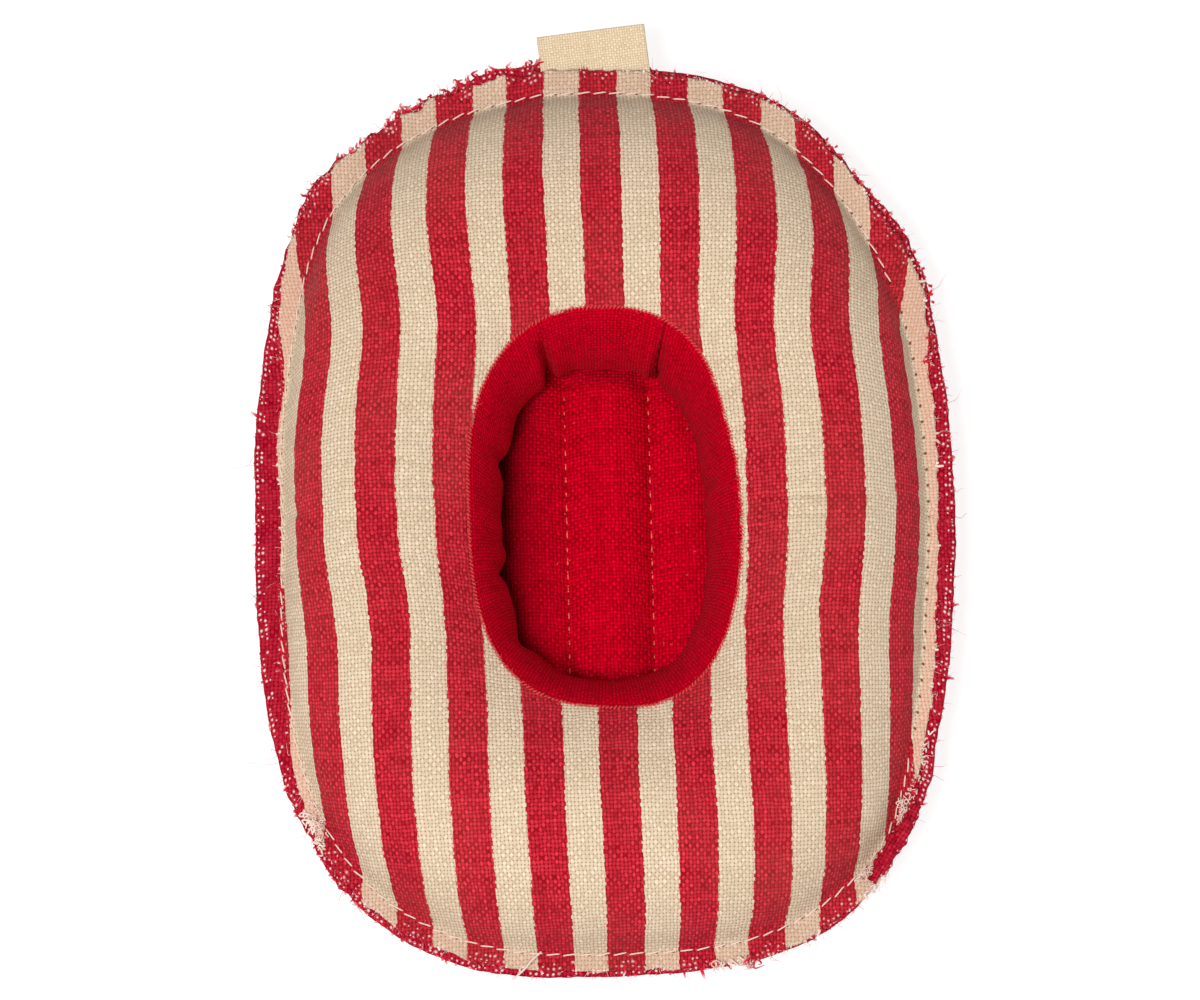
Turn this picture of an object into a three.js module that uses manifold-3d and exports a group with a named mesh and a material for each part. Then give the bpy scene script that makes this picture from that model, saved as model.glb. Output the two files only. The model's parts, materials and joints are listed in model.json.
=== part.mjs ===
// Stuffed cloth pool float for dolls: a padded ring with a cockpit, a quilted floor and a sewn label.
//
// Frame: +Z up, +Y towards the bow, where the label is sewn in, +X to starboard. The origin is the
// middle of the flat underside. Millimetres.
//
// Every ring-shaped piece is turned from a section on a lathe and then pushed outwards from circles
// to the ovals of the float. A section's radius is a station: what it measures on the starboard axis.

import * as THREE from "three";
import { mergeVertices } from "three/addons/utils/BufferGeometryUtils.js";
import Module from "manifold-3d";

const wasm = await Module();
wasm.setup();

// Cloth, thread and the clearance between neighbouring pieces
const CLOTH = 0.5;
const GAP = 0.3;
const THREAD = 0.36;
const SEGMENTS = 48;

// Plan: the outer seam, the rim of the cockpit and the foot of its wall
const BODY_LENGTH = 131;
const BODY_WIDTH = 96;
const BOW_POWER = 2.45;
const STERN_POWER = 2.85;
const RIM_LENGTH = 60;
const RIM_WIDTH = 40;
const FOOT_LENGTH = 48;
const FOOT_WIDTH = 31;
const COCKPIT_POWER = 2.7;
const TOP_ALLOWANCE = 4.2;
const UNDERSIDE_ALLOWANCE = 4.9;
const STITCH_INSET = 0.9;

// Section of the ring
const SEAM_HEIGHT = 12.5;
const CROWN_HEIGHT = 24.6;
const CROWN_INSET = 11;
const RIM_HEIGHT = 21.4;
const SHOULDER_POWER = 2.4;
const BILGE_WIDTH = 13;
const BILGE_POWER = 2.2;
const STUFFING_SHY = 0.8;

// Cockpit wall
const KNEE_HEIGHT = 6.5;
const WALL_POWER = 1.6;
const RIM_DROP = 1;
const RIM_ALLOWANCE = 4;
const RIM_STITCH = 1.8;
const FOOT_STITCH = 0.9;
const JOIN_ANGLE = THREE.MathUtils.degToRad(73);
const JOIN_MARGIN = 2.2;

// Quilted floor
const FLOOR_OFFSET = 0.8;
const FLOOR_LEAN = THREE.MathUtils.degToRad(1.2);
const CHANNEL_PITCH = 12.8;
const CHANNEL_HEIGHT = 3.4;
const CHANNEL_POWER = 1.2;
const CHANNEL_FACETS = 8;
const VALLEY_WADDING = 0.5;
const QUILTING_SHY = 1.2;

// Label
const LABEL_WIDTH = 16.6;
const LABEL_REACH = 5.6;
const LABEL_TILT = THREE.MathUtils.degToRad(7);
const LABEL_OFFSET = -2.1;
const LABEL_TAPE = 0.35;
const LABEL_FOLD_GAP = 0.3;
const LABEL_STUB = 0.7;
const LABEL_EASE = 4;
const LABEL_MARGIN = 5;

// An outline is a superellipse whose squareness can differ between bow and stern. Its station is
// its half width.
function outline(width, length, bow, stern = bow) {
  return { half: width / 2, end: length / 2, bow, stern };
}

const FOOT = outline(FOOT_WIDTH, FOOT_LENGTH, COCKPIT_POWER);
const RIM = outline(RIM_WIDTH, RIM_LENGTH, COCKPIT_POWER);
const SEAM = outline(BODY_WIDTH, BODY_LENGTH, BOW_POWER, STERN_POWER);
const OUTLINES = [FOOT, RIM, SEAM];

const CROWN_STATION = RIM.half + CROWN_INSET;
const FLAT_STATION = SEAM.half - BILGE_WIDTH;
const SHOULDER_FOOT = SEAM_HEIGHT + GAP / 2 + CLOTH;
const BILGE_TOP = SEAM_HEIGHT - GAP / 2 - CLOTH;
const FLOOR_BOTTOM = CLOTH + GAP;
const LABEL_STACK = 2 * LABEL_TAPE + LABEL_FOLD_GAP;
const LABEL_LIFT = LABEL_STACK + GAP;

// How far an outline lies from the middle in the direction whose cosine and sine are given
function reach({ half, end, bow, stern }, cos, sin) {
  const power = sin > 0 ? bow : stern;
  return (Math.abs(cos / half) ** power + Math.abs(sin / end) ** power) ** (-1 / power);
}

// How far a station lies from the middle in one direction
function radiusAt(station, cos, sin) {
  let inner = { half: 0, reach: 0 };
  for (const oval of OUTLINES) {
    const outer = { half: oval.half, reach: reach(oval, cos, sin) };
    if (station <= outer.half) {
      const share = (station - inner.half) / (outer.half - inner.half);
      return THREE.MathUtils.lerp(inner.reach, outer.reach, share);
    }
    inner = outer;
  }
  return inner.reach + station - inner.half;
}

function ovalPoint(station, height, angle) {
  const [cos, sin] = [Math.cos(angle), Math.sin(angle)];
  const radius = radiusAt(station, cos, sin);
  return new THREE.Vector3(radius * cos, radius * sin, height);
}

// The striped panel rises at the bow, over the label that is caught under its seam allowance
function labelLift(x, y, station) {
  if (y < 0) return 0;
  const beside = Math.abs(x - LABEL_OFFSET) - LABEL_WIDTH / 2 - LABEL_MARGIN;
  const inside = SEAM.half - station;
  const { smoothstep } = THREE.MathUtils;
  return LABEL_LIFT * (1 - smoothstep(beside, 0, LABEL_EASE)) * (1 - smoothstep(inside, 0, LABEL_EASE));
}

// A closed solid from any closed geometry, with its faces turned outwards
function asSolid(geometry) {
  const bare = new THREE.BufferGeometry().setAttribute("position", geometry.attributes.position);
  bare.setIndex(geometry.index);
  const merged = mergeVertices(bare, 1e-4);
  const corners = merged.index.array;
  const triangles = [];
  for (let i = 0; i < corners.length; i += 3) {
    const [a, b, c] = corners.slice(i, i + 3);
    if (a !== b && b !== c && c !== a) triangles.push(a, b, c);
  }
  const build = (triVerts) =>
    new wasm.Manifold(
      new wasm.Mesh({
        numProp: 3,
        vertProperties: Float32Array.from(merged.attributes.position.array),
        triVerts: Uint32Array.from(triVerts),
      }),
    );
  const solid = build(triangles);
  return solid.volume() > 0 ? solid : build(triangles.reverse());
}

function asGeometry(solid) {
  const { vertProperties, triVerts } = solid.getMesh();
  const geometry = new THREE.BufferGeometry();
  geometry.setAttribute("position", new THREE.BufferAttribute(vertProperties, 3));
  geometry.setIndex(new THREE.BufferAttribute(triVerts, 1));
  geometry.computeVertexNormals();
  return geometry;
}

// Turns a closed section of [station, height] points and pushes it out to the float's ovals
function turned(section, lifted = false) {
  const points = section.map(([station, height]) => new THREE.Vector2(station, height));
  if (section[0][0] > 0) points.push(points[0].clone());
  const geometry = new THREE.LatheGeometry(points, SEGMENTS).rotateX(Math.PI / 2);
  const position = geometry.attributes.position;
  for (let i = 0; i < position.count; i += 1) {
    const [x, y, z] = [position.getX(i), position.getY(i), position.getZ(i)];
    const station = Math.hypot(x, y);
    const point = ovalPoint(station, z, Math.atan2(y, x));
    if (lifted && z > SEAM_HEIGHT) point.z += labelLift(point.x, point.y, station);
    position.setXYZ(i, point.x, point.y, point.z);
  }
  return asGeometry(asSolid(geometry));
}

// A curve of [station, height] points moved sideways; a positive distance is to its left
function beside(curve, distance) {
  return curve.map(([s, z], i) => {
    const [s0, z0] = curve[Math.max(0, i - 1)];
    const [s1, z1] = curve[Math.min(curve.length - 1, i + 1)];
    const length = Math.hypot(s1 - s0, z1 - z0);
    return [s - ((z1 - z0) / length) * distance, z + ((s1 - s0) / length) * distance];
  });
}

const clothSection = (curve, side) => [...curve, ...beside(curve, side * CLOTH).reverse()];

function ringOfThread(station, height) {
  return Array.from({ length: 6 }, (_, i) => {
    const angle = (Math.PI / 3) * i;
    return [station + (THREAD / 2) * Math.cos(angle), height + (THREAD / 2) * Math.sin(angle)];
  });
}

function stations(from, to, steps, height) {
  return Array.from({ length: steps + 1 }, (_, i) => {
    const station = THREE.MathUtils.lerp(from, to, i / steps);
    return [station, height(station)];
  });
}

// Heights of the outer faces of the ring
function topHeight(station) {
  if (station < CROWN_STATION) {
    const inward = (CROWN_STATION - station) / CROWN_INSET;
    return CROWN_HEIGHT - (CROWN_HEIGHT - RIM_HEIGHT) * inward ** 2;
  }
  const outward = (station - CROWN_STATION) / (SEAM.half - CROWN_STATION);
  return CROWN_HEIGHT - (CROWN_HEIGHT - SHOULDER_FOOT) * outward ** SHOULDER_POWER;
}

function bilgeHeight(station) {
  const outward = Math.max(0, station - FLAT_STATION) / BILGE_WIDTH;
  return BILGE_TOP * outward ** BILGE_POWER;
}

const topCurve = [
  ...stations(RIM.half, CROWN_STATION, 5, topHeight),
  ...stations(CROWN_STATION, SEAM.half, 9, topHeight).slice(1),
];
const undersideCurve = [[0, 0], ...stations(FLAT_STATION, SEAM.half, 7, bilgeHeight)];

// The cockpit wall rises from the foot and leans out to the rim, then turns in under the top panel
const rimTurn = beside(
  stations(RIM.half, RIM.half + RIM_ALLOWANCE, 3, topHeight),
  -(CLOTH + GAP),
).slice(1);
const wallCurve = [
  [FOOT.half, FLOOR_BOTTOM],
  ...Array.from({ length: 6 }, (_, i) => {
    const share = i / 5;
    const height = THREE.MathUtils.lerp(KNEE_HEIGHT, RIM_HEIGHT - RIM_DROP, share);
    return [THREE.MathUtils.lerp(FOOT.half, RIM.half, share ** WALL_POWER), height];
  }),
];
const collarCurve = [...wallCurve, ...rimTurn];

const colours = {
  stripedCotton: { color: 0xcfa08c, roughness: 0.92, metalness: 0 },
  redCotton: { color: 0xae0a22, roughness: 0.9, metalness: 0 },
  paleThread: { color: 0xe6cdb4, roughness: 0.8, metalness: 0 },
  redThread: { color: 0xc9364a, roughness: 0.8, metalness: 0 },
  fill: { color: 0xf2f0ec, roughness: 1, metalness: 0 },
  tape: { color: 0xe4d2b4, roughness: 0.9, metalness: 0 },
};

const poolFloat = new THREE.Group();

function add(name, geometry, finish) {
  const mesh = new THREE.Mesh(geometry, new THREE.MeshStandardMaterial(finish));
  mesh.name = name;
  poolFloat.add(mesh);
}

// Ring
add(
  "top_panel",
  turned(clothSection([...topCurve, [SEAM.half + TOP_ALLOWANCE, SHOULDER_FOOT]], -1), true),
  colours.stripedCotton,
);
add(
  "underside_panel",
  turned(clothSection([...undersideCurve, [SEAM.half + UNDERSIDE_ALLOWANCE, BILGE_TOP]], 1)),
  colours.redCotton,
);
add("collar", turned(clothSection(collarCurve, -1)), colours.redCotton);

// The stuffing lies inside the cloth, and inside the threads along the back of the cockpit wall
const threadRoom = CLOTH + GAP + THREAD + GAP;
const tip = SEAM.half - STUFFING_SHY;
const underFace = stations(FLAT_STATION, tip, 6, bilgeHeight);
const topFace = [
  ...stations(RIM.half + RIM_ALLOWANCE + 1, CROWN_STATION, 3, topHeight),
  ...stations(CROWN_STATION, tip, 8, topHeight).slice(1),
];
add(
  "ring_stuffing",
  turned([
    ...beside(underFace, CLOTH + GAP),
    ...beside(topFace, -(CLOTH + GAP)).reverse(),
    ...beside(collarCurve, -threadRoom).reverse(),
  ]),
  colours.fill,
);

// Floor: cloth over wadding, with channels that run from bow to stern
function channelHeight(x) {
  const along = Math.abs(Math.sin((Math.PI * (x + CHANNEL_PITCH / 2)) / CHANNEL_PITCH));
  return CHANNEL_HEIGHT * along ** CHANNEL_POWER;
}

function channelled(bottom, top) {
  const count = 3 * CHANNEL_FACETS;
  const across = Array.from({ length: count + 1 }, (_, i) => CHANNEL_PITCH * (i / CHANNEL_FACETS - 1.5));
  const upper = across.map((x) => new THREE.Vector2(x, top + channelHeight(x)));
  const lower = across.map((x) => new THREE.Vector2(x, bottom(x)));
  const section = new THREE.Shape([...lower, ...upper.reverse()]);
  const geometry = new THREE.ExtrudeGeometry(section, { depth: FOOT_LENGTH, bevelEnabled: false });
  geometry.translate(0, 0, -FOOT_LENGTH / 2).rotateX(Math.PI / 2);
  return asSolid(geometry.rotateZ(FLOOR_LEAN).translate(FLOOR_OFFSET, 0, 0));
}

function cockpitPlug() {
  const angles = Array.from({ length: SEGMENTS }, (_, i) => (2 * Math.PI * i) / SEGMENTS);
  const points = angles.map((angle) => {
    const point = ovalPoint(FOOT.half - GAP, 0, angle);
    return new THREE.Vector2(point.x, point.y);
  });
  const geometry = new THREE.ExtrudeGeometry(new THREE.Shape(points), {
    depth: KNEE_HEIGHT,
    bevelEnabled: false,
  });
  return asSolid(geometry);
}

const plug = cockpitPlug();
const valleyBottom = FLOOR_BOTTOM + VALLEY_WADDING + GAP;
const valleyTop = valleyBottom + CLOTH;
const floorCloth = channelled((x) => valleyBottom + channelHeight(x), valleyTop);
const wadding = channelled(() => FLOOR_BOTTOM, FLOOR_BOTTOM + VALLEY_WADDING);
add("floor_panel", asGeometry(floorCloth.intersect(plug)), colours.redCotton);
add("floor_wadding", asGeometry(wadding.intersect(plug)), colours.fill);

// Threads
function strand(points) {
  const section = new THREE.Shape(
    Array.from({ length: 6 }, (_, i) => {
      const angle = (Math.PI / 3) * i;
      return new THREE.Vector2((THREAD / 2) * Math.cos(angle), (THREAD / 2) * Math.sin(angle));
    }),
  );
  return new THREE.ExtrudeGeometry(section, {
    steps: points.length - 1,
    extrudePath: new THREE.CatmullRomCurve3(points),
    bevelEnabled: false,
  });
}

const overTop = SHOULDER_FOOT + GAP + THREAD / 2;
const underFlange = BILGE_TOP - GAP - THREAD / 2;
const stitchStation = SEAM.half + STITCH_INSET;
add(
  "perimeter_needle_thread",
  turned(ringOfThread(stitchStation, overTop), true),
  colours.paleThread,
);
add(
  "perimeter_bobbin_thread",
  turned(ringOfThread(stitchStation, underFlange)),
  colours.paleThread,
);

const underAllowance = beside(
  stations(RIM.half, RIM.half + RIM_STITCH, 2, topHeight),
  -(2 * CLOTH + 2 * GAP + THREAD / 2),
);
add("rim_seam_thread", turned(ringOfThread(...underAllowance[2])), colours.redThread);

const behindWall = CLOTH + GAP + THREAD / 2;
add(
  "collar_foot_thread",
  turned(ringOfThread(FOOT.half + behindWall, FLOOR_BOTTOM + FOOT_STITCH)),
  colours.redThread,
);

const joinRoute = beside(wallCurve, -behindWall)
  .filter(([, height]) => height > FLOOR_BOTTOM + FOOT_STITCH + JOIN_MARGIN)
  .slice(0, -1);
add(
  "collar_joining_thread",
  strand(joinRoute.map(([station, height]) => ovalPoint(station, height, JOIN_ANGLE))),
  colours.redThread,
);

for (const [side, name] of [
  [-1, "quilting_thread_left"],
  [1, "quilting_thread_right"],
]) {
  const x = (side * CHANNEL_PITCH) / 2;
  const height = valleyTop + GAP + THREAD / 2;
  const end = FOOT.end * (1 - Math.abs(x / FOOT.half) ** FOOT.bow) ** (1 / FOOT.bow) - QUILTING_SHY;
  const route = [new THREE.Vector3(x, -end, height), new THREE.Vector3(x, end, height)];
  const line = strand(route).rotateZ(FLOOR_LEAN).translate(FLOOR_OFFSET, 0, 0);
  add(name, line, colours.redThread);
}

// Label: a tape folded double, held between the seam allowances, with its fold out beyond the bow
const labelFold = SEAM.end + TOP_ALLOWANCE + LABEL_REACH;
const labelPivot = SEAM.end + UNDERSIDE_ALLOWANCE + LABEL_STUB;
const labelMiddle = SEAM_HEIGHT + GAP / 2 + LABEL_STACK / 2;
const labelSwing = Math.hypot(LABEL_STACK / 2, GAP / 2);

// A block at the label's height that reaches from one distance along the float to another
function block(width, from, to, thickness) {
  const geometry = new THREE.BoxGeometry(width, to - from, thickness);
  return geometry.translate(0, (from + to) / 2, labelMiddle);
}

// The tape lies a little askew: it turns about the middle of its fold
function placedTape(geometry) {
  return asSolid(
    geometry.translate(0, -labelFold, 0).rotateZ(LABEL_TILT).translate(LABEL_OFFSET, labelFold, 0),
  );
}

function foldedTape() {
  const [outer, inner] = [LABEL_STACK / 2, LABEL_FOLD_GAP / 2];
  const [root, bend] = [SEAM.end, labelFold - LABEL_STACK / 2];
  const section = new THREE.Shape();
  section.moveTo(root, -outer);
  section.absarc(bend, 0, outer, -Math.PI / 2, Math.PI / 2, false);
  section.lineTo(root, outer);
  section.lineTo(root, inner);
  section.absarc(bend, 0, inner, Math.PI / 2, -Math.PI / 2, true);
  section.lineTo(root, -inner);
  const tape = { depth: LABEL_WIDTH, bevelEnabled: false, curveSegments: 4 };
  const geometry = new THREE.ExtrudeGeometry(section, tape).translate(0, 0, -LABEL_WIDTH / 2);
  return geometry.rotateX(Math.PI / 2).rotateZ(Math.PI / 2).translate(0, 0, labelMiddle);
}

const wide = 4 * LABEL_WIDTH;
const deep = 4 * LABEL_STACK;
const free = block(wide, labelPivot + GAP / 2, labelFold + LABEL_WIDTH, deep);
const caught = block(wide, SEAM.end + GAP, labelPivot - labelSwing - GAP, deep);
const flatTape = block(LABEL_WIDTH, SEAM.end - LABEL_WIDTH, labelFold, LABEL_STACK);
add("label_anchor", asGeometry(placedTape(flatTape).intersect(asSolid(caught))), colours.tape);
add("label_loop", asGeometry(placedTape(foldedTape()).intersect(asSolid(free))), colours.tape);

export default poolFloat;
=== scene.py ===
"""Looks of the stuffed cloth pool float: a striped ring with a red cockpit, quilted floor and label.

Metres, in the frame of the CAD model: +Z up, +Y towards the bow, where the label is. The cloth is
laid out on grids that run round the float and across its section. Each grid carries the flat cut of
its cloth as a map, so that the stripes and the weave bend with the cloth.
"""

import json
import math

import bpy
import numpy as np
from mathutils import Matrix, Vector

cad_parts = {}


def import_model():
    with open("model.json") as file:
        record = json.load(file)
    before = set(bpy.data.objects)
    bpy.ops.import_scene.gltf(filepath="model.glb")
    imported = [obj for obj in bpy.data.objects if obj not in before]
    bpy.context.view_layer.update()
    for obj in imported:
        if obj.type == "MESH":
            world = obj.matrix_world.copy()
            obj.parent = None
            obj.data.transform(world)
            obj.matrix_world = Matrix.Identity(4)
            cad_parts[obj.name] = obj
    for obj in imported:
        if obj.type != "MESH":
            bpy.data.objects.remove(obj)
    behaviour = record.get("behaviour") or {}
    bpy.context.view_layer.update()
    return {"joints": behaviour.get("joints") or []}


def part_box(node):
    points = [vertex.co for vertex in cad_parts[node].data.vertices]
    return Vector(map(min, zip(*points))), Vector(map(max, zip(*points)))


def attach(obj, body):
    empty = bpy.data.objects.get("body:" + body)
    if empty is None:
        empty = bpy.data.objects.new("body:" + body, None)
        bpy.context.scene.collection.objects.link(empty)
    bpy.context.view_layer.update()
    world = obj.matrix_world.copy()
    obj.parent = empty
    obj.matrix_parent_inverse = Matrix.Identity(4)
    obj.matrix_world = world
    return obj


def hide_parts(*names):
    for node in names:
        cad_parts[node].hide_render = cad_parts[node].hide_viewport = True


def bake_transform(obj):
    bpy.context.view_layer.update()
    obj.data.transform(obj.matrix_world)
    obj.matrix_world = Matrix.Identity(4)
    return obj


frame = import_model()

MM = 0.001
TURN = 2 * math.pi
UP = np.array((0.0, 0.0, 1.0))

# Outlines, from the CAD model
UNDERSIDE_ALLOWANCE = 4.9 * MM
SEAM_HALF = np.array(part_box("underside_panel")[1][:2]) - UNDERSIDE_ALLOWANCE
SEAM_POWERS = (2.45, 2.85)
RIM_HALF = np.array((20.0, 30.0)) * MM
RIM_POWERS = (2.42, 2.7)
FOOT_HALF = np.array((15.4, 24.0)) * MM
FOOT_HEIGHT = 1.2 * MM
CROWN_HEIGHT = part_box("top_panel")[1][2]
SEAM_HEIGHT = 12.5 * MM
RIM_BOW, RIM_STERN = 21.6 * MM, 19.6 * MM
CLOTH = 0.36 * MM

# The ring is highest at this share of the way from the rim to the seam, and falls off to this power
CROWN_SHARE = 0.39
SHOULDER_POWER = 2.3

# Widths of the two seam allowances, in mm, at angles in degrees from starboard towards the bow
STRIPED_EDGE = {0: 1.9, 24: 2.6, 31: 4.0, 38: 5.2, 54: 4.3, 90: 4.1, 122: 4.3, 130: 5.2, 138: 4.5,
                148: 3.3, 158: 1.3, 180: 0.6, 208: 0.9, 234: 2.9, 270: 2.9, 300: 3.5, 330: 2.3}
RED_EDGE = {0: 4.5, 25: 4.6, 42: 6.2, 58: 5.0, 92: 4.8, 100: 5.8, 108: 5.0, 122: 4.4, 129: 6.0,
            138: 4.8, 180: 4.4, 228: 3.8, 250: 4.1, 270: 3.6, 290: 3.7, 300: 3.9, 309: 2.8, 318: 5.2,
            327: 4.4}

# Places where the seam allowance curls up: angle and half width in degrees, rise in mm
FLANGE_CURLS = ((315, 5, 2.6), (229, 3.5, 1.4), (55, 6, 1.0), (126, 4, 0.8))

# Weave and print
THREAD_PITCH = 0.6 * MM
STRIPE_PERIOD = 11.85 * MM
STRIPE_WIDTH = 6.2 * MM
GRAIN = math.radians(1.7)
STRIPE_SHIFT = 1.0 * MM

# Stitches
STITCH_PITCH = 2.45 * MM
STITCH_OFFSET = 0.45 * MM
STITCH_LENGTH = 2.05 * MM
THREAD_RADIUS = 0.115 * MM

# Label, as it lies in the seam at the bow
LABEL_WIDTH, LABEL_TILT, LABEL_THICKNESS = 16.6 * MM, math.radians(7), 0.32 * MM
LABEL_MIDDLE = -2.1 * MM
LABEL_FOLD = 76.4 * MM
LABEL_ROOT = SEAM_HALF[1] + 0.2 * MM

# Rows of the grids round the float
AROUND = 600


# Shape of the float ---------------------------------------

def smooth(x, low, high):
    """Rises smoothly from 0 at low to 1 at high."""
    t = np.clip((x - low) / (high - low), 0, 1)
    return t * t * (3 - 2 * t)


def reach(angle, half, powers):
    """How far a superellipse lies from the middle at each angle."""
    power = np.where(np.sin(angle) > 0, powers[0], powers[1])
    across = np.abs(np.cos(angle) / half[0]) ** power
    along = np.abs(np.sin(angle) / half[1]) ** power
    return (across + along) ** (-1 / power)


def wander(angle, seed, waves, amount):
    """A smooth wave round the float, the same each run, made of the given numbers of waves."""
    rng = np.random.default_rng(seed)
    total = np.zeros_like(angle)
    for count in waves:
        total += rng.normal() * np.cos(count * angle + rng.uniform(0, TURN))
    return amount * total / math.sqrt(len(waves))


def bump(angle, at, width):
    """A soft bump round one angle, in degrees."""
    off = (np.degrees(angle) - at + 180) % 360 - 180
    return np.exp(-((off / width) ** 2))


def round_table(angle, table):
    """Smooth values, in metres, from a table of millimetres by angle that begins at 0 degrees."""
    at = np.array(sorted(table) + [360])
    values = np.array([table[a % 360] for a in at])
    here = np.degrees(angle) % 360
    index = np.searchsorted(at, here, side="right") - 1
    start, end = values[index], values[index + 1]
    return (start + (end - start) * smooth(here, at[index], at[index + 1])) * MM


def rim_reach(angle):
    skew = -0.45 * MM * np.sin(2 * angle) - 0.5 * MM * bump(angle, 38, 14)
    return reach(angle, RIM_HALF, RIM_POWERS) + skew + wander(angle, 11, (3, 5, 7), 0.14 * MM)


def rim_height(angle):
    share = 0.5 + 0.5 * np.sin(angle)
    return RIM_STERN + (RIM_BOW - RIM_STERN) * share + wander(angle, 12, (2, 3, 4), 0.15 * MM)


def seam_reach(angle):
    square_corner = 2.9 * MM * bump(angle, 130, 20)
    square_corner += 1.5 * MM * bump(angle, 311, 9)
    uneven = wander(angle, 13, (5, 8, 11), 0.16 * MM)
    return reach(angle, SEAM_HALF, SEAM_POWERS) + square_corner + uneven


def seam_height(angle):
    return SEAM_HEIGHT + wander(angle, 14, (2, 3, 5), 0.35 * MM)


def label_lift(x, y):
    """How far the label raises the striped cloth at the bow."""
    aside = np.abs(x - LABEL_MIDDLE)
    return 0.75 * MM * (1 - smooth(aside, 7.5 * MM, 11 * MM)) * (y > 0)


def path_length(points):
    """Length along the second axis of a grid of points."""
    steps = np.linalg.norm(np.diff(points, axis=1), axis=2)
    return np.concatenate([np.zeros((len(points), 1)), np.cumsum(steps, axis=1)], axis=1)


def line_length(points):
    """Length along one line of points."""
    return path_length(points[None])[0]


def unit(vectors):
    return vectors / np.maximum(np.linalg.norm(vectors, axis=-1, keepdims=True), 1e-12)


def polar(angle, radius, height):
    height = np.broadcast_to(height, np.broadcast(angle, radius, height).shape)
    return np.stack([radius * np.cos(angle), radius * np.sin(angle), height], axis=-1)


def top_height(angle, share):
    """Height of the ring's upper face; share runs from 0 at the rim to 1 at the outer seam."""
    crown = CROWN_HEIGHT - 0.5 * MM + wander(angle, 15, (2, 3, 5), 0.2 * MM)
    inward = np.clip((CROWN_SHARE - share) / CROWN_SHARE, 0, 1)
    outward = np.clip((share - CROWN_SHARE) / (1 - CROWN_SHARE), 0, 1)
    drop_in = (crown - rim_height(angle)) * inward**2
    drop_out = (crown - seam_height(angle) - CLOTH) * outward**SHOULDER_POWER
    return crown - drop_in - drop_out


angles = np.arange(AROUND) * TURN / AROUND
ring = angles[:, None]


# Mesh building --------------------------------------------

def mesh_object(name, vertices, faces, maps=(), material=None):
    mesh = bpy.data.meshes.new(name)
    mesh.from_pydata(np.asarray(vertices).tolist(), [], faces)
    for map_name, values in maps:
        layer = mesh.uv_layers.new(name=map_name)
        corners = np.empty(len(mesh.loops), np.int32)
        mesh.loops.foreach_get("vertex_index", corners)
        layer.uv.foreach_set("vector", np.asarray(values)[corners].astype(np.float32).ravel())
    mesh.polygons.foreach_set("use_smooth", [True] * len(mesh.polygons))
    mesh.validate()
    piece = bpy.data.objects.new(name, mesh)
    bpy.context.collection.objects.link(piece)
    if material:
        mesh.materials.append(material)
    return piece


def grid_faces(rows, columns, closed=True, tube=False):
    """Quads of a grid. Closed joins the last row to the first, and tube the last column."""
    row = np.arange(rows if closed else rows - 1)[:, None]
    column = np.arange(columns if tube else columns - 1)[None, :]
    after, beside = (row + 1) % rows, (column + 1) % columns
    quads = [row * columns + column, row * columns + beside]
    quads += [after * columns + beside, after * columns + column]
    return np.stack(quads, axis=-1).reshape(-1, 4).tolist()


def grid_piece(name, points, maps, material, closed=True, tube=False):
    faces = grid_faces(*points.shape[:2], closed, tube)
    flat = [(map_name, values.reshape(-1, 2)) for map_name, values in maps]
    return mesh_object(name, points.reshape(-1, 3), faces, flat, material)


def thicken(piece, thickness):
    cloth = piece.modifiers.new("cloth", "SOLIDIFY")
    cloth.thickness = thickness
    cloth.offset = -1


def tubes(name, paths, radii, sides, material, roots=None):
    """One mesh of many closed tubes: paths is [tube, point, xyz], radii [tube, point].

    roots gives the place in the flat cloth where each yarn starts.
    """
    paths, radii = np.asarray(paths), np.asarray(radii)
    count, steps = paths.shape[:2]
    along = unit(np.gradient(paths, axis=1))
    chord = paths[:, -1] - paths[:, 0]
    least = np.eye(3)[np.argmin(np.abs(chord), axis=1)][:, None, :]
    side = unit(np.cross(along, np.broadcast_to(least, along.shape)))
    over = np.cross(along, side)
    turn = np.arange(sides) * TURN / sides
    around = side[:, :, None] * np.cos(turn)[:, None] + over[:, :, None] * np.sin(turn)[:, None]
    vertices = (paths[:, :, None] + around * radii[:, :, None, None]).reshape(-1, 3)
    tube = np.arange(count)[:, None, None] * steps * sides
    step = np.arange(steps - 1)[None, :, None] * sides
    corner = np.arange(sides)[None, None, :]
    following = (corner + 1) % sides
    quads = [tube + step + corner, tube + step + following]
    quads += [tube + step + sides + following, tube + step + sides + corner]
    faces = np.stack(quads, axis=-1).reshape(-1, 4).tolist()
    first = np.arange(count)[:, None] * steps * sides + np.arange(sides)[None, ::-1]
    last = np.arange(count)[:, None] * steps * sides + (steps - 1) * sides + np.arange(sides)
    faces += first.tolist() + last.tolist()
    maps = []
    if roots is not None:
        share = np.broadcast_to(np.linspace(0, 1, steps)[None, :, None], (count, steps, sides))
        number = np.broadcast_to(np.arange(count)[:, None, None] / count, share.shape)
        root = np.broadcast_to(np.asarray(roots)[:, None, None, :], (count, steps, sides, 2))
        maps = [("Cloth", root.reshape(-1, 2)),
                ("Yarn", np.stack([share, number], axis=-1).reshape(-1, 2))]
    return mesh_object(name, vertices, faces, maps, material)


def between(where, length, line):
    """Points of a line at the given lengths along it, which start again at its end."""
    where = where % length[-1]
    return np.stack([np.interp(where, length, column) for column in line.T], axis=1)


def resample(points, pitch, closed=True):
    """Points at an even pitch along a line, the line's direction there, and the places along it."""
    line = np.vstack([points, points[:1]]) if closed else points
    length = line_length(line)
    count = int(length[-1] / pitch)
    at = (np.arange(count) + 0.5) * length[-1] / count
    step = 0.3 * pitch
    ahead = between(at + step, length, line) - between(at - step, length, line)
    return between(at, length, line), unit(ahead), at / length[-1]


# Materials ------------------------------------------------

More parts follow.
